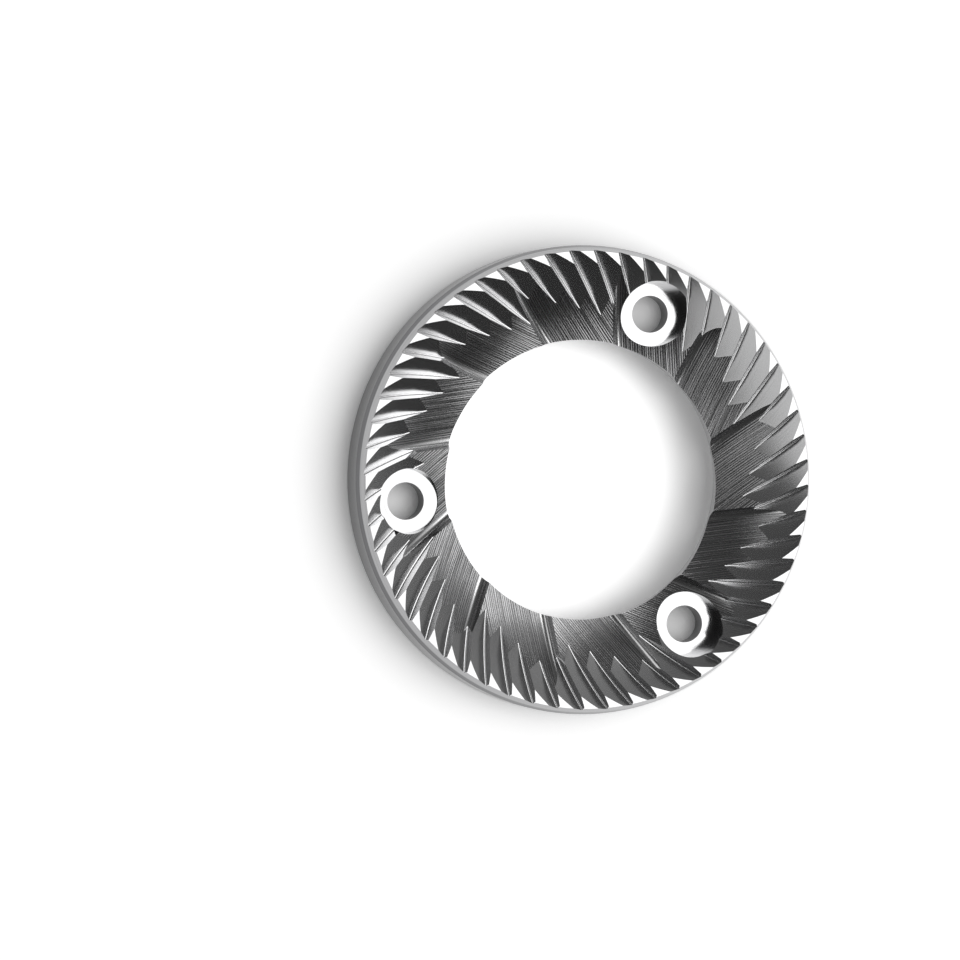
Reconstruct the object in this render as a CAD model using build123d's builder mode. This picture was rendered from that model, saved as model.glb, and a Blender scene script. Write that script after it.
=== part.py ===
# Flat grinding burr: one turned and ground steel ring with sloping teeth on its upper face
# Millimetres and degrees. The origin is the centre of the back face, and +Z points out of the teeth.
import os
from math import acos, asin, cos, degrees, radians, sin, sqrt, tan

from build123d import *

# Ring
outer_diameter = 64.0
bore_diameter = 38.3
thickness = 8.0
rim_bevel_width = 0.56
rim_bevel_height = 1.28
shoulder_bevel_width = 0.32
shoulder_bevel_height = 1.12
back_edge_chamfer = 0.35
bore_back_chamfer = 2.3

# Grinding teeth: each groove is cut by a tilted wheel that dips deepest well inside the rim
tooth_count = 56
first_tooth_angle = 5.28
groove_angle = 18.04
groove_rim_depth = 0.52
groove_wheel_radius = 37.64
groove_wheel_inset = 13.3
groove_wall_lean = 26.9
groove_floor_slope = 30.9

# Breaker facets: wide scoops round the bore that draw the beans outwards, each ending in a step
breaker_count = 12
first_breaker_angle = 14.82
breaker_angle = 22.35
breaker_bore_depth = 5.04
breaker_wheel_radius = 35.2
breaker_wheel_inset = 10.2
breaker_floor_slope = 20.9
breaker_wall_lean = 28.0
breaker_corner_radius = 6.0
breaker_corner_slope = 3.0

# Screw holes, counterbored below the teeth
screw_count = 3
first_screw_angle = 66.6
screw_circle_diameter = 49.5
screw_hole_diameter = 5.1
screw_head_diameter = 8.9
screw_head_depth = 4.6

# The grinding wheels reach this far past the metal that they cut
overrun = 3.0

outer_radius = outer_diameter / 2
bore_radius = bore_diameter / 2
shoulder_radius = outer_radius - shoulder_bevel_width
land_radius = shoulder_radius - rim_bevel_width
shoulder_height = thickness - rim_bevel_height
rim_height = shoulder_height - shoulder_bevel_height


def heading(angle):
    return Vector(cos(radians(angle)), sin(radians(angle)), 0)


def arc_rise(radius, offset):
    return radius - sqrt(radius**2 - offset**2)


# Groove wheel: its flat side cuts the front of a tooth, and its edge cuts the sloping back of the next
groove_lean = radians(groove_wall_lean)
groove_along = heading(first_tooth_angle + groove_angle)
groove_across = heading(first_tooth_angle + groove_angle + 90)
groove_line_offset = land_radius * sin(radians(groove_angle))
groove_lowest = land_radius * cos(radians(groove_angle)) - groove_wheel_inset
groove_plunge = groove_rim_depth / cos(groove_lean) + arc_rise(groove_wheel_radius, groove_wheel_inset)
groove_hub = groove_wheel_radius - groove_plunge
groove_edge_cone = radians(groove_floor_slope - groove_wall_lean)
groove_wheel_width = groove_plunge / tan(groove_lean) + overrun
groove_wheel_start = -degrees(asin(groove_lowest / groove_wheel_radius))
groove_wheel_end = degrees(asin((groove_wheel_inset + overrun) / groove_wheel_radius))

groove_axis = Axis(
    groove_along * groove_lowest
    + groove_across * (groove_hub * sin(groove_lean) - groove_line_offset)
    + Vector(0, 0, thickness + groove_hub * cos(groove_lean)),
    groove_across * -cos(groove_lean) + Vector(0, 0, sin(groove_lean)),
)
groove_plane = Plane(groove_axis.position, x_dir=groove_axis.direction, z_dir=groove_along)

with BuildPart() as groove_wheel:
    with BuildSketch(groove_plane.moved(Rotation(groove_wheel_start, 0, 0))):
        with BuildLine():
            Polyline(
                (0, groove_hub - overrun),
                (0, groove_wheel_radius),
                (groove_wheel_width, groove_wheel_radius - groove_wheel_width * tan(groove_edge_cone)),
                (groove_wheel_width, groove_hub - overrun),
                close=True,
            )
        make_face()
    revolve(axis=groove_axis, revolution_arc=groove_wheel_end - groove_wheel_start)

# Breaker wheel: an upright wheel with a sloping edge that cuts a facet, and a leaning side that cuts the step
breaker_slope = radians(breaker_floor_slope)
breaker_along = heading(first_breaker_angle + breaker_angle)
breaker_across = heading(first_breaker_angle + breaker_angle + 90)
breaker_line_offset = bore_radius * sin(radians(breaker_angle))
breaker_lowest = bore_radius * cos(radians(breaker_angle)) - breaker_wheel_inset
breaker_plunge = breaker_bore_depth + arc_rise(breaker_wheel_radius, breaker_wheel_inset)
breaker_hub = breaker_wheel_radius - breaker_plunge
breaker_corner_turn = breaker_floor_slope - breaker_corner_slope
breaker_wheel_width = breaker_plunge / tan(breaker_slope) + overrun
breaker_wall_width = (breaker_plunge + overrun) * tan(radians(breaker_wall_lean))
breaker_wheel_start = -degrees(asin(breaker_lowest / breaker_wheel_radius))
breaker_wheel_end = degrees(acos((breaker_hub - overrun) / breaker_wheel_radius))

breaker_axis = Axis(
    breaker_along * breaker_lowest
    - breaker_across * breaker_line_offset
    + Vector(0, 0, thickness + breaker_hub),
    -breaker_across,
)
breaker_plane = Plane(breaker_axis.position, x_dir=breaker_axis.direction, z_dir=breaker_along)

with BuildPart() as breaker_wheel:
    with BuildSketch(breaker_plane.moved(Rotation(breaker_wheel_start, 0, 0))):
        with BuildLine():
            breaker_corner = JernArc(
                start=(0, breaker_wheel_radius),
                tangent=heading(-breaker_corner_slope),
                radius=breaker_corner_radius,
                arc_size=-breaker_corner_turn,
            )
            breaker_floor_run = breaker_wheel_width - (breaker_corner @ 1).X
            Polyline(
                breaker_corner @ 1,
                (breaker_wheel_width, (breaker_corner @ 1).Y - breaker_floor_run * tan(breaker_slope)),
                (breaker_wheel_width, breaker_hub - overrun),
                (-breaker_wall_width, breaker_hub - overrun),
                breaker_corner @ 0,
            )
        make_face()
    revolve(axis=breaker_axis, revolution_arc=breaker_wheel_end - breaker_wheel_start)

# Burr: the turned ring, then its screw holes and breaker facets, then the grooves one after another
with BuildPart() as burr:
    with BuildSketch(Plane.XZ):
        with BuildLine():
            Polyline(
                (bore_radius, bore_back_chamfer),
                (bore_radius + bore_back_chamfer, 0),
                (outer_radius - back_edge_chamfer, 0),
                (outer_radius, back_edge_chamfer),
                (outer_radius, rim_height),
                (shoulder_radius, shoulder_height),
                (land_radius, thickness),
                (bore_radius, thickness),
                close=True,
            )
        make_face()
    revolve(axis=Axis.Z)

    with Locations(Plane.XY.offset(thickness)):
        with PolarLocations(screw_circle_diameter / 2, screw_count, start_angle=first_screw_angle):
            CounterBoreHole(
                radius=screw_hole_diameter / 2,
                counter_bore_radius=screw_head_diameter / 2,
                counter_bore_depth=screw_head_depth,
                depth=thickness,
            )
    with PolarLocations(0, breaker_count):
        add(breaker_wheel.part, mode=Mode.SUBTRACT)
    for tooth in range(tooth_count):
        with PolarLocations(0, 1, start_angle=tooth * 360 / tooth_count):
            add(groove_wheel.part, clean=False, mode=Mode.SUBTRACT)

burr.part.label = "burr"

os.makedirs("parts", exist_ok=True)
export_step(burr.part, "parts/burr.step")
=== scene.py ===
from math import acos, asin, atan2, cos, degrees, pi, radians, sin, sqrt, tan

import bmesh
import bpy
from mathutils import Matrix, Quaternion, Vector


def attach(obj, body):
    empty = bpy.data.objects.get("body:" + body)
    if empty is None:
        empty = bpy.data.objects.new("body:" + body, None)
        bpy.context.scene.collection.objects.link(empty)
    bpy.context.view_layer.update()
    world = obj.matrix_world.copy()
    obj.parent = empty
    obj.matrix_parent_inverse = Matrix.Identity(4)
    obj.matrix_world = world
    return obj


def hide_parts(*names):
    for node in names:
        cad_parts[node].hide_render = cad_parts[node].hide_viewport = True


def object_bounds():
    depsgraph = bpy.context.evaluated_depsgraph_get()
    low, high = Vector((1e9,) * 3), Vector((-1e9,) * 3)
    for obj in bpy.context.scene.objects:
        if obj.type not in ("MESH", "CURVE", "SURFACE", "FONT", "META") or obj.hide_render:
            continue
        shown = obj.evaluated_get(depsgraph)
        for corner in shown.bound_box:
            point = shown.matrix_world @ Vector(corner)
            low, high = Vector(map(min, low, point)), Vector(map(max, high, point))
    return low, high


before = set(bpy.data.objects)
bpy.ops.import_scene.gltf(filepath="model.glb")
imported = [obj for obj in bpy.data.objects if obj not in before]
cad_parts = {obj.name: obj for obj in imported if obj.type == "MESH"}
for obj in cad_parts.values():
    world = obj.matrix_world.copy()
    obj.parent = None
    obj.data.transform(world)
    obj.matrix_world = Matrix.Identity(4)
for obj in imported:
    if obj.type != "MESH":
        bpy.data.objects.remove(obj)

cadLow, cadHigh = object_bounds()
scene = bpy.context.scene
print("frame loaded:", sorted(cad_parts))

mm = 0.001

# finishes of the burr's faces, stored on each face before the cuts
landFace, wallFace, floorFace, facetFace, stepFace = range(5)
turnedFace, rimFace, shoulderFace, bevelFace, drilledFace, boredFace, footFace = range(5, 12)

# sizes in millimetres and degrees, the same as the solid's
ring = {
    "outerDiameter": 64.0,
    "boreDiameter": 38.3,
    "thickness": 8.0,
    "rimBevelWidth": 0.56,
    "rimBevelHeight": 1.28,
    "shoulderBevelWidth": 0.32,
    "shoulderBevelHeight": 1.12,
    "backEdgeChamfer": 0.35,
    "boreBackChamfer": 2.3,
    "stepAngle": 0.5,
    "sharpAngle": 7.0,  # edges that bend more than this stay sharp
    "overrun": 3.0,  # how far the wheels and the drill reach past the metal
}

teeth = {
    "count": 56,
    "firstAngle": 5.28,
    "angle": 18.04,
    "rimDepth": 0.52,
    "wheelRadius": 37.64,
    "wheelInset": 13.3,
    "wallLean": 26.9,
    "floorSlope": 30.9,
    "cornerRadius": 0.2,  # the wheel's worn corner
    "cornerSteps": 16,
    "stepAngle": 0.75,
}

breakers = {
    "count": 12,
    "firstAngle": 14.82,
    "angle": 22.35,
    "boreDepth": 5.04,
    "wheelRadius": 35.2,
    "wheelInset": 10.2,
    "floorSlope": 20.9,
    "wallLean": 28.0,
    "cornerRadius": 6.0,
    "cornerSlope": 3.0,
    "cornerSteps": 8,
    "footRadius": 0.9,  # the worn corner between the wheel's edge and its leaning side
    "footSteps": 12,
    "stepAngle": 0.75,
}

screws = {
    "count": 3,
    "firstAngle": 66.6,
    "circleDiameter": 49.5,
    "holeDiameter": 5.1,
    "headDiameter": 8.9,
    "headDepth": 4.6,
    "tipRadius": 0.001,  # the drill's section stops just short of its axis
    "stepAngle": 3.0,
}

outerRadius = ring["outerDiameter"] / 2
boreRadius = ring["boreDiameter"] / 2
shoulderRadius = outerRadius - ring["shoulderBevelWidth"]
landRadius = shoulderRadius - ring["rimBevelWidth"]
thickness = ring["thickness"]
overrun = ring["overrun"]
up = Vector((0, 0, 1))


def heading(angle):
    return Vector((cos(radians(angle)), sin(radians(angle)), 0))


def leaning(lean):
    # a way that leans so many degrees off the vertical, to the right and away
    tilt = radians(Vector(lean).length)
    return Vector((*(Vector(lean).normalized() * sin(tilt)), cos(tilt)))


def arcRise(radius, offset):
    return radius - sqrt(radius**2 - offset**2)


def cornerArc(start, slope, radius, turn, steps):
    # clockwise arc from start, leaving it at slope degrees
    centreX = start[0] + radius * sin(radians(slope))
    centreY = start[1] - radius * cos(radians(slope))
    angles = [radians(slope - turn * i / steps) for i in range(steps + 1)]
    return [(centreX - radius * sin(a), centreY + radius * cos(a)) for a in angles]


def axisPlace(origin, axis, outward):
    # from a wheel's own frame, with its axis along x, to the ring's frame in metres
    turn = Matrix((axis, outward.cross(axis), outward)).transposed().to_4x4()
    return Matrix.Scale(mm, 4) @ Matrix.Translation(origin) @ turn


def turnedMesh(name, section, faces, startAngle, endAngle, stepAngle, place):
    # turns a closed section of (along the axis, radius) points, with a finish for each of its sides
    closed = endAngle - startAngle == 360
    count = round((endAngle - startAngle) / stepAngle)
    rows = count if closed else count + 1
    sides = len(section)
    lengths = [0.0]
    for j in range(sides):
        a, b = Vector(section[j]), Vector(section[(j + 1) % sides])
        lengths.append(lengths[-1] + (b - a).length * mm)
    reach = max(radius for _, radius in section) * mm

    bm = bmesh.new()
    grain = bm.loops.layers.uv.new("grain")
    finish = bm.faces.layers.int.new("finish")
    angles = [radians(startAngle + (endAngle - startAngle) * i / count) for i in range(count + 1)]
    grid = [
        [bm.verts.new(place @ Vector((m, r * cos(a), r * sin(a)))) for m, r in section]
        for a in angles[:rows]
    ]
    for i in range(count):
        for j in range(sides):
            k = (j + 1) % sides
            corners = (grid[i][j], grid[i][k], grid[(i + 1) % rows][k], grid[(i + 1) % rows][j])
            face = bm.faces.new(corners)
            face[finish] = faces[j]
            spots = ((i, j), (i, j + 1), (i + 1, j + 1), (i + 1, j))
            for loop, (row, side) in zip(face.loops, spots):
                loop[grain].uv = (angles[row] * reach, lengths[side])
    if not closed:
        bm.faces.new(grid[0][::-1])
        bm.faces.new(grid[-1])
    bmesh.ops.recalc_face_normals(bm, faces=bm.faces)
    mesh = bpy.data.meshes.new(name)
    bm.to_mesh(mesh)
    bm.free()
    mesh.materials.append(materials["turnedSteel"])
    made = bpy.data.objects.new(name, mesh)
    scene.collection.objects.link(made)
    return made


def turnedRing():
    chamfer, boreChamfer = ring["backEdgeChamfer"], ring["boreBackChamfer"]
    shoulderHeight = thickness - ring["rimBevelHeight"]
    rimHeight = shoulderHeight - ring["shoulderBevelHeight"]
    section = [
        (boreChamfer, boreRadius),
        (0, boreRadius + boreChamfer),
        (0, outerRadius - chamfer),
        (chamfer, outerRadius),
        (rimHeight, outerRadius),
        (shoulderHeight, shoulderRadius),
        (thickness, landRadius),
        (thickness, boreRadius),
    ]
    faces = [turnedFace] * 2 + [rimFace] * 2 + [shoulderFace, bevelFace, landFace, turnedFace]
    place = axisPlace(Vector(), up, heading(90))
    return turnedMesh("burrSteel", section, faces, 0, 360, ring["stepAngle"], place)


def grooveWheel():
    lean = radians(teeth["wallLean"])
    along = heading(teeth["firstAngle"] + teeth["angle"])
    across = heading(teeth["firstAngle"] + teeth["angle"] + 90)
    lowest = landRadius * cos(radians(teeth["angle"])) - teeth["wheelInset"]
    lineOffset = landRadius * sin(radians(teeth["angle"]))
    plunge = teeth["rimDepth"] / cos(lean) + arcRise(teeth["wheelRadius"], teeth["wheelInset"])
    hub = teeth["wheelRadius"] - plunge
    cone = teeth["floorSlope"] - teeth["wallLean"]
    width = plunge / tan(lean) + overrun
    # the rounded corner leaves the flat side and runs into the sloping edge
    cornerDrop = teeth["cornerRadius"] * tan(radians(45 + cone / 2))
    corner = cornerArc(
        (0, teeth["wheelRadius"] - cornerDrop), 90, teeth["cornerRadius"], 90 + cone, teeth["cornerSteps"]
    )
    edgeEnd = teeth["wheelRadius"] - width * tan(radians(cone))
    section = corner + [(width, edgeEnd), (width, hub - overrun), (0, hub - overrun)]
    origin = along * lowest + across * (hub * sin(lean) - lineOffset) + up * (thickness + hub * cos(lean))
    axis = across * -cos(lean) + up * sin(lean)
    start = -degrees(asin(lowest / teeth["wheelRadius"]))
    end = degrees(asin((teeth["wheelInset"] + overrun) / teeth["wheelRadius"]))
    faces = [floorFace] * (len(section) - 1) + [wallFace]
    place = axisPlace(origin, axis, along)
    return turnedMesh("grooveWheel", section, faces, start, end, teeth["stepAngle"], place)


def breakerWheel():
    slope = radians(breakers["floorSlope"])
    along = heading(breakers["firstAngle"] + breakers["angle"])
    across = heading(breakers["firstAngle"] + breakers["angle"] + 90)
    lowest = boreRadius * cos(radians(breakers["angle"])) - breakers["wheelInset"]
    lineOffset = boreRadius * sin(radians(breakers["angle"]))
    plunge = breakers["boreDepth"] + arcRise(breakers["wheelRadius"], breakers["wheelInset"])
    hub = breakers["wheelRadius"] - plunge
    # the worn corner touches the leaning side and, from inside, the round of the edge
    wallSlope = 90 - breakers["wallLean"]
    wallWay = Vector((cos(radians(wallSlope)), sin(radians(wallSlope))))
    wallNormal = Vector((wallWay.y, -wallWay.x))
    corner = breakers["cornerRadius"]
    footRadius = breakers["footRadius"]
    tip = Vector((0, breakers["wheelRadius"]))
    cornerUp = Vector((sin(radians(breakers["cornerSlope"])), cos(radians(breakers["cornerSlope"]))))
    cornerCentre = tip - cornerUp * corner
    reach = tip + wallNormal * footRadius - cornerCentre
    drop = reach.dot(wallWay)
    drop -= sqrt(drop**2 - reach.length_squared + (corner - footRadius) ** 2)
    meet = reach - wallWay * drop
    meetSlope = -degrees(atan2(meet.x, meet.y))
    footTurn = wallSlope - meetSlope
    foot = cornerArc(tip - wallWay * drop, wallSlope, footRadius, footTurn, breakers["footSteps"])
    floorTurn = meetSlope + breakers["floorSlope"]
    edge = cornerArc(foot[-1], meetSlope, corner, floorTurn, breakers["cornerSteps"])
    width = plunge / tan(slope) + overrun
    floorEnd = edge[-1][1] - (width - edge[-1][0]) * tan(slope)
    wallWidth = (plunge + overrun) * tan(radians(breakers["wallLean"]))
    section = foot[:-1] + edge
    section += [(width, floorEnd), (width, hub - overrun), (-wallWidth, hub - overrun)]
    origin = along * lowest - across * lineOffset + up * (thickness + hub)
    start = -degrees(asin(lowest / breakers["wheelRadius"]))
    end = degrees(acos((hub - overrun) / breakers["wheelRadius"]))
    faces = [footFace] * breakers["footSteps"]
    faces += [facetFace] * (len(section) - len(faces) - 1) + [stepFace]
    place = axisPlace(origin, -across, along)
    return turnedMesh("breakerWheel", section, faces, start, end, breakers["stepAngle"], place)


def screwDrill():
    tip = screws["tipRadius"]
    holeRadius, headRadius = screws["holeDiameter"] / 2, screws["headDiameter"] / 2
    headFloor = thickness - screws["headDepth"]
    section = [
        (-overrun, tip),
        (-overrun, holeRadius),
        (headFloor, holeRadius),
        (headFloor, headRadius),
        (thickness + overrun, headRadius),
        (thickness + overrun, tip),
    ]
    faces = [drilledFace, boredFace, drilledFace, boredFace, drilledFace, drilledFace]
    place = axisPlace(heading(screws["firstAngle"]) * screws["circleDiameter"] / 2, up, heading(90))
    return turnedMesh("screwDrill", section, faces, 0, 360, screws["stepAngle"], place)


# node helpers
def node(tree, kind, x=0, y=0, **settings):
    made = tree.nodes.new(kind)
    made.location = (x, y)
    for name, value in settings.items():
        setattr(made, name, value)
    return made


def newSocket(tree, name, kind, way="INPUT"):
    tree.interface.new_socket(name, in_out=way, socket_type=kind)


# marks of the grinding: uneven lines from a noise, mixed with evenly spaced ones
marks = {
    "drift": (40, 57, 0),  # no two cuts have the same lines
    "noiseDetail": 2.5,
    "noiseRoughness": 0.6,
    "hatchScale": pi / 20,  # one line to every two steps of the noise
    "hatchWander": 4.0,  # how far the even lines get out of step with each other
    "hatchDetail": 1.0,
    "hatchDetailScale": 2.0,
    "hatchHeights": (0.32, 0.68),
    "heights": (0.3, 0.7),  # where the noise mostly lies, so the share of lines is read off it
    "edgeWidth": 0.12,
}


def grindLinesGroup():
    # straight parallel lines along the grain, which run on for about the line length
    tree = bpy.data.node_groups.new("grindLines", "ShaderNodeTree")
    newSocket(tree, "Grain", "NodeSocketVector")
    newSocket(tree, "Place", "NodeSocketVector")
    for name in ("Lines Per Metre", "Line Length", "Line Share", "Evenness"):
        newSocket(tree, name, "NodeSocketFloat")
    newSocket(tree, "Height", "NodeSocketFloat", way="OUTPUT")
    newSocket(tree, "Streaks", "NodeSocketFloat", way="OUTPUT")
    inside, outside = node(tree, "NodeGroupInput", -1000), node(tree, "NodeGroupOutput", 600)
    link = tree.links.new
    split = node(tree, "ShaderNodeSeparateXYZ", -800, 100)
    link(inside.outputs["Grain"], split.inputs[0])
    along = node(tree, "ShaderNodeMath", -600, 200, operation="DIVIDE")
    link(split.outputs["X"], along.inputs[0])
    link(inside.outputs["Line Length"], along.inputs[1])
    across = node(tree, "ShaderNodeMath", -600, 0, operation="MULTIPLY")
    link(split.outputs["Y"], across.inputs[0])
    link(inside.outputs["Lines Per Metre"], across.inputs[1])
    drift = node(tree, "ShaderNodeVectorMath", -600, -200, operation="DOT_PRODUCT")
    drift.inputs[1].default_value = marks["drift"]
    link(inside.outputs["Place"], drift.inputs[0])
    join = node(tree, "ShaderNodeCombineXYZ", -400, 100)
    link(along.outputs[0], join.inputs["X"])
    link(across.outputs[0], join.inputs["Y"])
    link(drift.outputs["Value"], join.inputs["Z"])
    lines = node(tree, "ShaderNodeTexNoise", -200, 100)
    lines.inputs["Scale"].default_value = 1.0
    lines.inputs["Detail"].default_value = marks["noiseDetail"]
    lines.inputs["Roughness"].default_value = marks["noiseRoughness"]
    link(join.outputs[0], lines.inputs["Vector"])
    hatch = node(tree, "ShaderNodeTexWave", -200, 400, wave_type="BANDS", bands_direction="Y")
    hatch.inputs["Scale"].default_value = marks["hatchScale"]
    hatch.inputs["Distortion"].default_value = marks["hatchWander"]
    hatch.inputs["Detail"].default_value = marks["hatchDetail"]
    hatch.inputs["Detail Scale"].default_value = marks["hatchDetailScale"]
    link(join.outputs[0], hatch.inputs["Vector"])
    even = node(tree, "ShaderNodeMapRange", -20, 400)
    even.inputs["To Min"].default_value, even.inputs["To Max"].default_value = marks["hatchHeights"]
    link(hatch.outputs["Fac"], even.inputs["Value"])
    height = node(tree, "ShaderNodeMix", 160, 200, data_type="FLOAT")
    link(inside.outputs["Evenness"], height.inputs["Factor"])
    link(lines.outputs["Fac"], height.inputs["A"])
    link(even.outputs["Result"], height.inputs["B"])
    # the more lines, the lower the height at which they start
    lowest = node(tree, "ShaderNodeMapRange", 0, -200)
    lowest.inputs["To Max"].default_value, lowest.inputs["To Min"].default_value = marks["heights"]
    link(inside.outputs["Line Share"], lowest.inputs["Value"])
    highest = node(tree, "ShaderNodeMath", 180, -200, operation="ADD")
    highest.inputs[1].default_value = marks["edgeWidth"]
    link(lowest.outputs["Result"], highest.inputs[0])
    streaks = node(tree, "ShaderNodeMapRange", 360, -60, interpolation_type="SMOOTHSTEP")
    link(height.outputs["Result"], streaks.inputs["Value"])
    link(lowest.outputs["Result"], streaks.inputs["From Min"])
    link(highest.outputs[0], streaks.inputs["From Max"])
    link(height.outputs["Result"], outside.inputs["Height"])
    link(streaks.outputs["Result"], outside.inputs["Streaks"])
    return tree


grindLines = grindLinesGroup()

# steels by finish: the ground is what lies between the lines; some steels are coloured darker or lighter
# to paint shade, reflections or highlights, as noted at each
steels = {
    "landSteel": {
        "face": landFace,
        "groundColor": (0.70, 0.70, 0.705),
        "lineColor": (0.66, 0.66, 0.665),
        "groundRough": 0.14,
        "lineRough": 0.2,
        "linesPerMetre": 9000.0,
        "lineLength": 0.006,
        "lineShare": 0.4,
        "evenness": 0.0,
        "bumpHeight": 0.000001,
    },
    "wallSteel": {
        "face": wallFace,
        "groundColor": (0.81, 0.81, 0.815),
        "lineColor": (0.77, 0.77, 0.775),
        "groundRough": 0.13,
        "lineRough": 0.17,
        "linesPerMetre": 8000.0,
        "lineLength": 0.012,
        "lineShare": 0.3,
        "evenness": 0.0,
        "bumpHeight": 0.000001,
    },
    "floorSteel": {
        "face": floorFace,
        "groundColor": (0.81, 0.81, 0.815),
        "lineColor": (0.795, 0.795, 0.80),
        "groundRough": 0.24,
        "lineRough": 0.27,
        "linesPerMetre": 8000.0,
        "lineLength": 0.012,
        "lineShare": 0.3,
        "evenness": 0.0,
        "bumpHeight": 0.0000006,
    },
    # partly painted highlight: the facets' grind marks are real, but their lines are coloured far lighter
    # than the ground, standing in for the glints along them
    "facetSteel": {
        "face": facetFace,
        "groundColor": (0.47, 0.47, 0.475),
        "lineColor": (0.90, 0.90, 0.905),
        "groundRough": 0.25,
        "lineRough": 0.31,
        "linesPerMetre": 6400.0,
        "lineLength": 0.016,
        "lineShare": 0.45,
        "evenness": 0.6,
        "bumpHeight": 0.00009,
        "anisotropy": 0.75,
        "anisotropyTurn": 0.25,  # a quarter turn, from along the lines to across them
    },
    "stepSteel": {
        "face": stepFace,
        "groundColor": (0.60, 0.60, 0.605),
        "lineColor": (0.52, 0.52, 0.525),
        "groundRough": 0.16,
        "lineRough": 0.24,
        "linesPerMetre": 6000.0,
        "lineLength": 0.012,
        "lineShare": 0.35,
        "evenness": 0.0,
        "bumpHeight": 0.000002,
    },
    "footSteel": {
        "face": footFace,
        "groundColor": (0.95, 0.95, 0.955),
        "lineColor": (0.88, 0.88, 0.885),
        "groundRough": 0.2,
        "lineRough": 0.26,
        "linesPerMetre": 6000.0,
        "lineLength": 0.012,
        "lineShare": 0.35,
        "evenness": 0.0,
        "bumpHeight": 0.000002,
    },
    "turnedSteel": {
        "face": turnedFace,
        "groundColor": (0.62, 0.62, 0.625),
        "lineColor": (0.54, 0.54, 0.545),
        "groundRough": 0.22,
        "lineRough": 0.3,
        "linesPerMetre": 7000.0,
        "lineLength": 0.03,
        "lineShare": 0.4,
        "evenness": 0.0,
        "bumpHeight": 0.000002,
    },
    # painted reflection: the shoulder's steel is coloured near black, standing in for dark surroundings
    # mirrored in it
    "shoulderSteelPaintedDark": {
        "face": shoulderFace,
        "groundColor": (0.14, 0.14, 0.145),
        "lineColor": (0.11, 0.11, 0.115),
        "groundRough": 0.16,
        "lineRough": 0.24,
        "linesPerMetre": 7000.0,
        "lineLength": 0.03,
        "lineShare": 0.4,
        "evenness": 0.0,
        "bumpHeight": 0.000001,
    },
    # painted reflection: the bevel's steel is coloured darker than the steel, standing in for dark
    # surroundings mirrored in it
    "bevelSteelPaintedDark": {
        "face": bevelFace,
        "groundColor": (0.39, 0.39, 0.395),
        "lineColor": (0.34, 0.34, 0.345),
        "groundRough": 0.16,
        "lineRough": 0.24,
        "linesPerMetre": 7000.0,
        "lineLength": 0.03,
        "lineShare": 0.4,
        "evenness": 0.0,
        "bumpHeight": 0.000001,
    },
    # painted reflection: the back chamfer and outer cylinder are coloured dark, standing in for the dark
    # surroundings and contact shadow mirrored in them
    "rimSteelPaintedDark": {
        "face": rimFace,
        "groundColor": (0.20, 0.20, 0.205),
        "lineColor": (0.16, 0.16, 0.165),
        "groundRough": 0.16,
        "lineRough": 0.22,
        "linesPerMetre": 7000.0,
        "lineLength": 0.03,
        "lineShare": 0.4,
        "evenness": 0.0,
        "bumpHeight": 0.000002,
    },
    "drilledSteel": {
        "face": drilledFace,
        "groundColor": (0.70, 0.70, 0.705),
        "lineColor": (0.64, 0.64, 0.645),
        "groundRough": 0.12,
        "lineRough": 0.18,
        "linesPerMetre": 6000.0,
        "lineLength": 0.01,
        "lineShare": 0.4,
        "evenness": 0.0,
        "bumpHeight": 0.0000005,
    },
    # painted shade: the walls of the screw holes and counterbores are coloured dark, standing in for
    # shade and dark reflections in the recess
    "boredSteelPaintedDark": {
        "face": boredFace,
        "groundColor": (0.27, 0.27, 0.275),
        "lineColor": (0.21, 0.21, 0.215),
        "groundRough": 0.16,
        "lineRough": 0.24,
        "linesPerMetre": 6000.0,
        "lineLength": 0.01,
        "lineShare": 0.4,
        "evenness": 0.0,
        "bumpHeight": 0.000001,
    },
}


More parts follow.
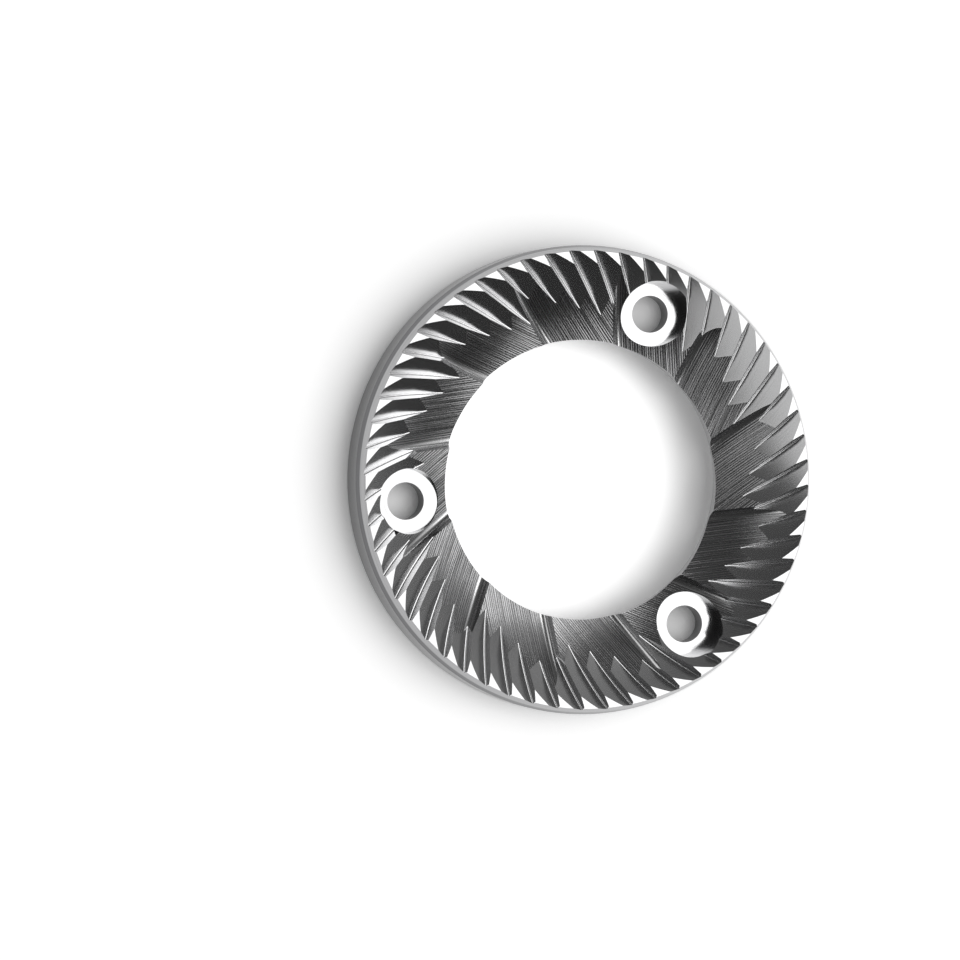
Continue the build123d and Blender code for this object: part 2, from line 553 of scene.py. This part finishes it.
def steelMaterial(name):
    look = steels[name]
    material = bpy.data.materials.new(name)
    material.use_nodes = True
    tree = material.node_tree
    link = tree.links.new
    shader = tree.nodes["Principled BSDF"]
    shader.inputs["Metallic"].default_value = 1.0
    grain = node(tree, "ShaderNodeUVMap", -1000, 100, uv_map="grain")
    place = node(tree, "ShaderNodeTexCoord", -1000, -100)
    lines = node(tree, "ShaderNodeGroup", -760, 0, node_tree=grindLines)
    lines.inputs["Lines Per Metre"].default_value = look["linesPerMetre"]
    lines.inputs["Line Length"].default_value = look["lineLength"]
    lines.inputs["Line Share"].default_value = look["lineShare"]
    lines.inputs["Evenness"].default_value = look["evenness"]
    link(grain.outputs["UV"], lines.inputs["Grain"])
    link(place.outputs["Object"], lines.inputs["Place"])
    tint = node(tree, "ShaderNodeMix", -460, 200, data_type="RGBA")
    tint.inputs["A"].default_value = (*look["groundColor"], 1)
    tint.inputs["B"].default_value = (*look["lineColor"], 1)
    link(lines.outputs["Streaks"], tint.inputs["Factor"])
    link(tint.outputs["Result"], shader.inputs["Base Color"])
    rough = node(tree, "ShaderNodeMapRange", -460, -60)
    rough.inputs["To Min"].default_value = look["groundRough"]
    rough.inputs["To Max"].default_value = look["lineRough"]
    link(lines.outputs["Streaks"], rough.inputs["Value"])
    link(rough.outputs["Result"], shader.inputs["Roughness"])
    bump = node(tree, "ShaderNodeBump", -240, -220)
    bump.inputs["Strength"].default_value = 1.0
    bump.inputs["Distance"].default_value = look["bumpHeight"]
    link(lines.outputs["Height"], bump.inputs["Height"])
    link(bump.outputs["Normal"], shader.inputs["Normal"])
    if "anisotropy" in look:
        # coarse lines spread the light across themselves
        along = node(tree, "ShaderNodeTangent", -240, -420, direction_type="UV_MAP", uv_map="grain")
        link(along.outputs["Tangent"], shader.inputs["Tangent"])
        shader.inputs["Anisotropic"].default_value = look["anisotropy"]
        shader.inputs["Anisotropic Rotation"].default_value = look["anisotropyTurn"]
    return material


materials = {name: steelMaterial(name) for name in steels}
print("steels made:", sorted(materials))


# the cuts: every wheel and drill is turned round the ring's axis and taken out of it
toolNames = ("Screw Drill", "Breaker Wheel", "Groove Wheel")


def cutTree():
    tree = bpy.data.node_groups.new("cutBurr", "GeometryNodeTree")
    newSocket(tree, "Geometry", "NodeSocketGeometry")
    newSocket(tree, "Geometry", "NodeSocketGeometry", way="OUTPUT")
    for tool in toolNames:
        newSocket(tree, tool, "NodeSocketObject")
        newSocket(tree, tool + " Count", "NodeSocketInt")
    newSocket(tree, "Sharp Angle", "NodeSocketFloat")
    inside, outside = node(tree, "NodeGroupInput", -1400), node(tree, "NodeGroupOutput", 1600)
    link = tree.links.new
    steel = inside.outputs["Geometry"]
    for row, tool in enumerate(toolNames):
        x, y = -1100 + 500 * row, -300 * row
        shape = node(tree, "GeometryNodeObjectInfo", x, y - 200)
        link(inside.outputs[tool], shape.inputs["Object"])
        points = node(tree, "GeometryNodePoints", x, y)
        link(inside.outputs[tool + " Count"], points.inputs["Count"])
        index = node(tree, "GeometryNodeInputIndex", x - 200, y - 400)
        pitch = node(tree, "ShaderNodeMath", x, y - 400, operation="DIVIDE")
        pitch.inputs[0].default_value = 2 * pi
        link(inside.outputs[tool + " Count"], pitch.inputs[1])
        angle = node(tree, "ShaderNodeMath", x + 160, y - 400, operation="MULTIPLY")
        link(index.outputs[0], angle.inputs[0])
        link(pitch.outputs[0], angle.inputs[1])
        turn = node(tree, "ShaderNodeCombineXYZ", x + 320, y - 400)
        link(angle.outputs[0], turn.inputs["Z"])
        rotation = node(tree, "FunctionNodeEulerToRotation", x + 480, y - 400)
        link(turn.outputs[0], rotation.inputs[0])
        copies = node(tree, "GeometryNodeInstanceOnPoints", x + 300, y)
        link(points.outputs[0], copies.inputs["Points"])
        link(shape.outputs["Geometry"], copies.inputs["Instance"])
        link(rotation.outputs[0], copies.inputs["Rotation"])
        cut = node(tree, "GeometryNodeMeshBoolean", x + 480, y, operation="DIFFERENCE", solver="MANIFOLD")
        link(steel, cut.inputs["Mesh 1"])
        link(copies.outputs[0], cut.inputs["Mesh 2"])
        steel = cut.outputs["Mesh"]
    # gentle bends are smoothed, and the rest stay sharp
    bend = node(tree, "GeometryNodeInputMeshEdgeAngle", 400, -400)
    sharp = node(tree, "FunctionNodeCompare", 560, -400, data_type="FLOAT", operation="LESS_THAN")
    link(bend.outputs["Unsigned Angle"], sharp.inputs["A"])
    link(inside.outputs["Sharp Angle"], sharp.inputs["B"])
    smoothFaces = node(tree, "GeometryNodeSetShadeSmooth", 560, 0, domain="FACE")
    smoothEdges = node(tree, "GeometryNodeSetShadeSmooth", 740, 0, domain="EDGE")
    link(steel, smoothFaces.inputs["Geometry"])
    link(smoothFaces.outputs[0], smoothEdges.inputs["Geometry"])
    link(sharp.outputs["Result"], smoothEdges.inputs["Shade Smooth"])
    realize = node(tree, "GeometryNodeRealizeInstances", 900, 0)
    link(smoothEdges.outputs[0], realize.inputs["Geometry"])
    steel = realize.outputs["Geometry"]
    # each face takes the steel of its finish
    for row, name in enumerate(steels):
        y = -200 - 160 * row
        finish = node(tree, "GeometryNodeInputNamedAttribute", 1000, y, data_type="INT")
        finish.inputs["Name"].default_value = "finish"
        chosen = node(tree, "FunctionNodeCompare", 1160, y, data_type="INT", operation="EQUAL")
        chosen.inputs["B"].default_value = steels[name]["face"]
        link(finish.outputs["Attribute"], chosen.inputs["A"])
        paint = node(tree, "GeometryNodeSetMaterial", 1100 + 120 * row, 0)
        paint.inputs["Material"].default_value = materials[name]
        link(steel, paint.inputs["Geometry"])
        link(chosen.outputs["Result"], paint.inputs["Selection"])
        steel = paint.outputs["Geometry"]
    link(steel, outside.inputs["Geometry"])
    return tree


def cutBurr():
    blank = turnedRing()
    cutters = (
        (screwDrill(), screws["count"]),
        (breakerWheel(), breakers["count"]),
        (grooveWheel(), teeth["count"]),
    )
    tools = dict(zip(toolNames, cutters))
    tree = cutTree()
    modifier = blank.modifiers.new("cut", "NODES")
    modifier.node_group = tree
    sockets = {s.name: s.identifier for s in tree.interface.items_tree if s.in_out == "INPUT"}
    for name, (tool, count) in tools.items():
        modifier[sockets[name]] = tool
        modifier[sockets[name + " Count"]] = count
    modifier[sockets["Sharp Angle"]] = radians(ring["sharpAngle"])
    graph = bpy.context.evaluated_depsgraph_get()
    mesh = bpy.data.meshes.new_from_object(blank.evaluated_get(graph), depsgraph=graph)
    blank.modifiers.remove(modifier)
    blank.data = mesh
    for tool, _ in tools.values():
        bpy.data.objects.remove(tool)
    return blank


burr = cutBurr()
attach(burr, "root")
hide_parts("burr")
print("burr cut:", len(burr.data.polygons), "faces,", [m.name for m in burr.data.materials])

# floor, in metres: a matte sheet with a glow that whitens it for the eye and for reflections
stage = {
    "floorSize": 6.0,
    "floorDrop": 0.00002,
    "floorColor": (0.9, 0.9, 0.9),
    "floorGlow": 0.72,
    # round the rim the glow is shaded by what stands near it on the soft box's side
    "shadeReach": 0.034,
    "shadeLean": (28.0, -12.0),
    "shadeSamples": 4,
    "rimShade": {"span": (0.04, 0.92), "levels": (0.0, 1.0)},
    # painted shade inside the bore: the glow is drawn darker outside a circle to the left of the middle,
    # where the light lands
    "boreShift": (0.005, -0.0005, 0),
    "boreShade": {"span": (0.0164, 0.0222), "levels": (1.0, 0.21)},
}


def floorMaterial():
    material = bpy.data.materials.new("paleFloor")
    material.use_nodes = True
    tree = material.node_tree
    tree.nodes.clear()
    link = tree.links.new

    def shadeLevel(look, source, y):
        level = node(tree, "ShaderNodeMapRange", -200, y, interpolation_type="SMOOTHSTEP")
        level.inputs["From Min"].default_value, level.inputs["From Max"].default_value = look["span"]
        level.inputs["To Min"].default_value, level.inputs["To Max"].default_value = look["levels"]
        link(source, level.inputs["Value"])
        return level.outputs["Result"]

    output = node(tree, "ShaderNodeOutputMaterial", 800)
    matte = node(tree, "ShaderNodeBsdfDiffuse", 400, 100)
    matte.inputs["Color"].default_value = (*stage["floorColor"], 1)
    way = node(tree, "ShaderNodeCombineXYZ", -600, -400)
    for axis, share in zip("XYZ", leaning(stage["shadeLean"])):
        way.inputs[axis].default_value = share
    shade = node(tree, "ShaderNodeAmbientOcclusion", -400, -400, samples=stage["shadeSamples"])
    shade.inputs["Distance"].default_value = stage["shadeReach"]
    link(way.outputs[0], shade.inputs["Normal"])
    # inside the bore's back edge this drawn circle of painted shade takes the place of that shade
    place = node(tree, "ShaderNodeTexCoord", -800, -800)
    radius = node(tree, "ShaderNodeVectorMath", -600, -800, operation="LENGTH")
    link(place.outputs["Object"], radius.inputs[0])
    within = node(tree, "ShaderNodeMath", -400, -800, operation="LESS_THAN")
    within.inputs[1].default_value = (boreRadius + ring["boreBackChamfer"]) * mm
    link(radius.outputs["Value"], within.inputs[0])
    shifted = node(tree, "ShaderNodeVectorMath", -600, -1000, operation="ADD")
    shifted.inputs[1].default_value = stage["boreShift"]
    link(place.outputs["Object"], shifted.inputs[0])
    reach = node(tree, "ShaderNodeVectorMath", -400, -1000, operation="LENGTH")
    link(shifted.outputs["Vector"], reach.inputs[0])
    level = node(tree, "ShaderNodeMix", 0, -500, data_type="FLOAT")
    link(within.outputs[0], level.inputs["Factor"])
    link(shadeLevel(stage["rimShade"], shade.outputs["AO"], -400), level.inputs["A"])
    link(shadeLevel(stage["boreShade"], reach.outputs["Value"], -700), level.inputs["B"])
    # the glow is seen straight, mirrored or through something, and lights nothing
    path = node(tree, "ShaderNodeLightPath", -600, -100)
    seen = node(tree, "ShaderNodeMath", -400, -100, operation="MAXIMUM")
    link(path.outputs["Is Camera Ray"], seen.inputs[0])
    link(path.outputs["Is Glossy Ray"], seen.inputs[1])
    seenThrough = node(tree, "ShaderNodeMath", -220, -100, operation="MAXIMUM")
    link(seen.outputs[0], seenThrough.inputs[0])
    link(path.outputs["Is Transmission Ray"], seenThrough.inputs[1])
    glow = node(tree, "ShaderNodeMath", -40, -200, operation="MULTIPLY")
    link(seenThrough.outputs[0], glow.inputs[0])
    link(level.outputs["Result"], glow.inputs[1])
    strength = node(tree, "ShaderNodeMath", 140, -200, operation="MULTIPLY")
    strength.inputs[1].default_value = stage["floorGlow"]
    link(glow.outputs[0], strength.inputs[0])
    light = node(tree, "ShaderNodeEmission", 400, -120)
    link(strength.outputs[0], light.inputs["Strength"])
    total = node(tree, "ShaderNodeAddShader", 600)
    link(matte.outputs[0], total.inputs[0])
    link(light.outputs[0], total.inputs[1])
    link(total.outputs[0], output.inputs["Surface"])
    return material


def paleFloor():
    mesh = bpy.data.meshes.new("paleFloor")
    half = stage["floorSize"] / 2
    corners = [(-half, -half, 0), (half, -half, 0), (half, half, 0), (-half, half, 0)]
    mesh.from_pydata(corners, [], [(0, 1, 2, 3)])
    mesh.materials.append(floorMaterial())
    floor = bpy.data.objects.new("paleFloor", mesh)
    floor.location.z = cadLow.z - stage["floorDrop"]
    scene.collection.objects.link(floor)


paleFloor()

# lights: a large soft box up on the right and a weaker fill low on the left, both aimed at the burr
lights = {
    "softBox": {
        "lean": (22.2, 0.5),
        "turn": -7.0,
        "distance": 0.7,
        "spread": (31.5, 19.8),  # half the angle that it fills, each way
        "brightness": 1.4,
    },
    "cornerFill": {
        "lean": (-52.0, 9.0),
        "turn": 0.0,
        "distance": 0.8,
        "spread": (31.0, 9.0),
        "brightness": 0.68,
    },
}


def softLight(name):
    plan = lights[name]
    way = leaning(plan["lean"])
    data = bpy.data.lights.new(name, "AREA")
    data.shape = "RECTANGLE"
    data.size = 2 * plan["distance"] * tan(radians(plan["spread"][0]))
    data.size_y = 2 * plan["distance"] * tan(radians(plan["spread"][1]))
    # a lamp of this power has the wanted brightness when it is looked at
    data.energy = plan["brightness"] * pi * data.size * data.size_y
    lamp = bpy.data.objects.new(name, data)
    lamp.location = way * plan["distance"]
    spin = Quaternion(up, radians(plan["turn"]))
    lamp.rotation_euler = (way.to_track_quat("Z", "Y") @ spin).to_euler()
    scene.collection.objects.link(lamp)


for name in lights:
    softLight(name)

# a dark room that is paler on the far right, and palest near the horizon there,
# with a faint patch at the far left and a glow beyond the soft box
room = {
    "wall": 0.024,
    "paleSide": 0.03,
    "paleSideAngle": 60.0,
    "paleSideSpan": (0.4, 0.8),
    "horizon": 0.13,
    "horizonAngle": 18.0,
    "horizonSpan": (0.35, 0.75),
    "horizonRise": (0.42, 0.2),
    "halo": 0.06,
    "haloLean": (-20.0, 34.0),
    "haloSpan": (0.913, 0.994),
    "boxGlow": 0.42,
    "boxGlowLean": (35.0, 17.0),
    "boxGlowSpan": (0.81, 0.96),
}


def studioRoom():
    world = bpy.data.worlds.new("studioRoom")
    world.use_nodes = True
    tree = world.node_tree
    link = tree.links.new
    back = tree.nodes["Background"]
    place = node(tree, "ShaderNodeTexCoord", -1000)

    def towards(way, span, y):
        share = node(tree, "ShaderNodeVectorMath", -800, y, operation="DOT_PRODUCT")
        share.inputs[1].default_value = way
        link(place.outputs["Generated"], share.inputs[0])
        mask = node(tree, "ShaderNodeMapRange", -600, y, interpolation_type="SMOOTHSTEP")
        mask.inputs["From Min"].default_value, mask.inputs["From Max"].default_value = span
        link(share.outputs["Value"], mask.inputs["Value"])
        return mask.outputs["Result"]

    paleSide = node(tree, "ShaderNodeMath", -200, 200, operation="MULTIPLY_ADD")
    link(towards(heading(room["paleSideAngle"]), room["paleSideSpan"], 200), paleSide.inputs[0])
    paleSide.inputs[1].default_value = room["paleSide"]
    paleSide.inputs[2].default_value = room["wall"]
    low = node(tree, "ShaderNodeMath", -400, -200, operation="MULTIPLY")
    link(towards(heading(room["horizonAngle"]), room["horizonSpan"], -100), low.inputs[0])
    link(towards(up, room["horizonRise"], -400), low.inputs[1])
    horizon = node(tree, "ShaderNodeMath", -100, 0, operation="MULTIPLY_ADD")
    link(low.outputs[0], horizon.inputs[0])
    horizon.inputs[1].default_value = room["horizon"]
    link(paleSide.outputs[0], horizon.inputs[2])
    halo = node(tree, "ShaderNodeMath", 0, 0, operation="MULTIPLY_ADD")
    link(towards(leaning(room["haloLean"]), room["haloSpan"], -700), halo.inputs[0])
    halo.inputs[1].default_value = room["halo"]
    link(horizon.outputs[0], halo.inputs[2])
    total = node(tree, "ShaderNodeMath", 160, 0, operation="MULTIPLY_ADD")
    link(towards(leaning(room["boxGlowLean"]), room["boxGlowSpan"], -1000), total.inputs[0])
    total.inputs[1].default_value = room["boxGlow"]
    link(halo.outputs[0], total.inputs[2])
    link(total.outputs[0], back.inputs["Color"])
    scene.world = world


studioRoom()
print("floor, lights and room set")

# camera: the photograph's angle, a long lens nearly over the burr, in millimetres and degrees
view = {
    "lens": 176.25,
    "sensor": 36.0,
    "leanRight": 13.69,
    "leanUp": 0.48,
    "distance": 638.9,
    "aside": 14.875,
    "clip": (50.0, 20000.0),
}


def photoCamera():
    data = bpy.data.cameras.new("photoCamera")
    data.sensor_width = view["sensor"]
    data.lens = view["lens"]
    data.clip_start, data.clip_end = (end * mm for end in view["clip"])
    camera = bpy.data.objects.new("photoCamera", data)
    leanUp = Matrix.Rotation(radians(view["leanUp"]), 3, "X")
    leanRight = Matrix.Rotation(radians(view["leanRight"]), 3, "Y")
    turn = leanUp @ leanRight
    place = turn.transposed() @ Vector((-view["aside"], 0, view["distance"])) + up * thickness
    camera.matrix_world = Matrix.Translation(place * mm) @ turn.transposed().to_4x4()
    scene.collection.objects.link(camera)
    scene.camera = camera


photoCamera()
scene.view_settings.view_transform = "Standard"
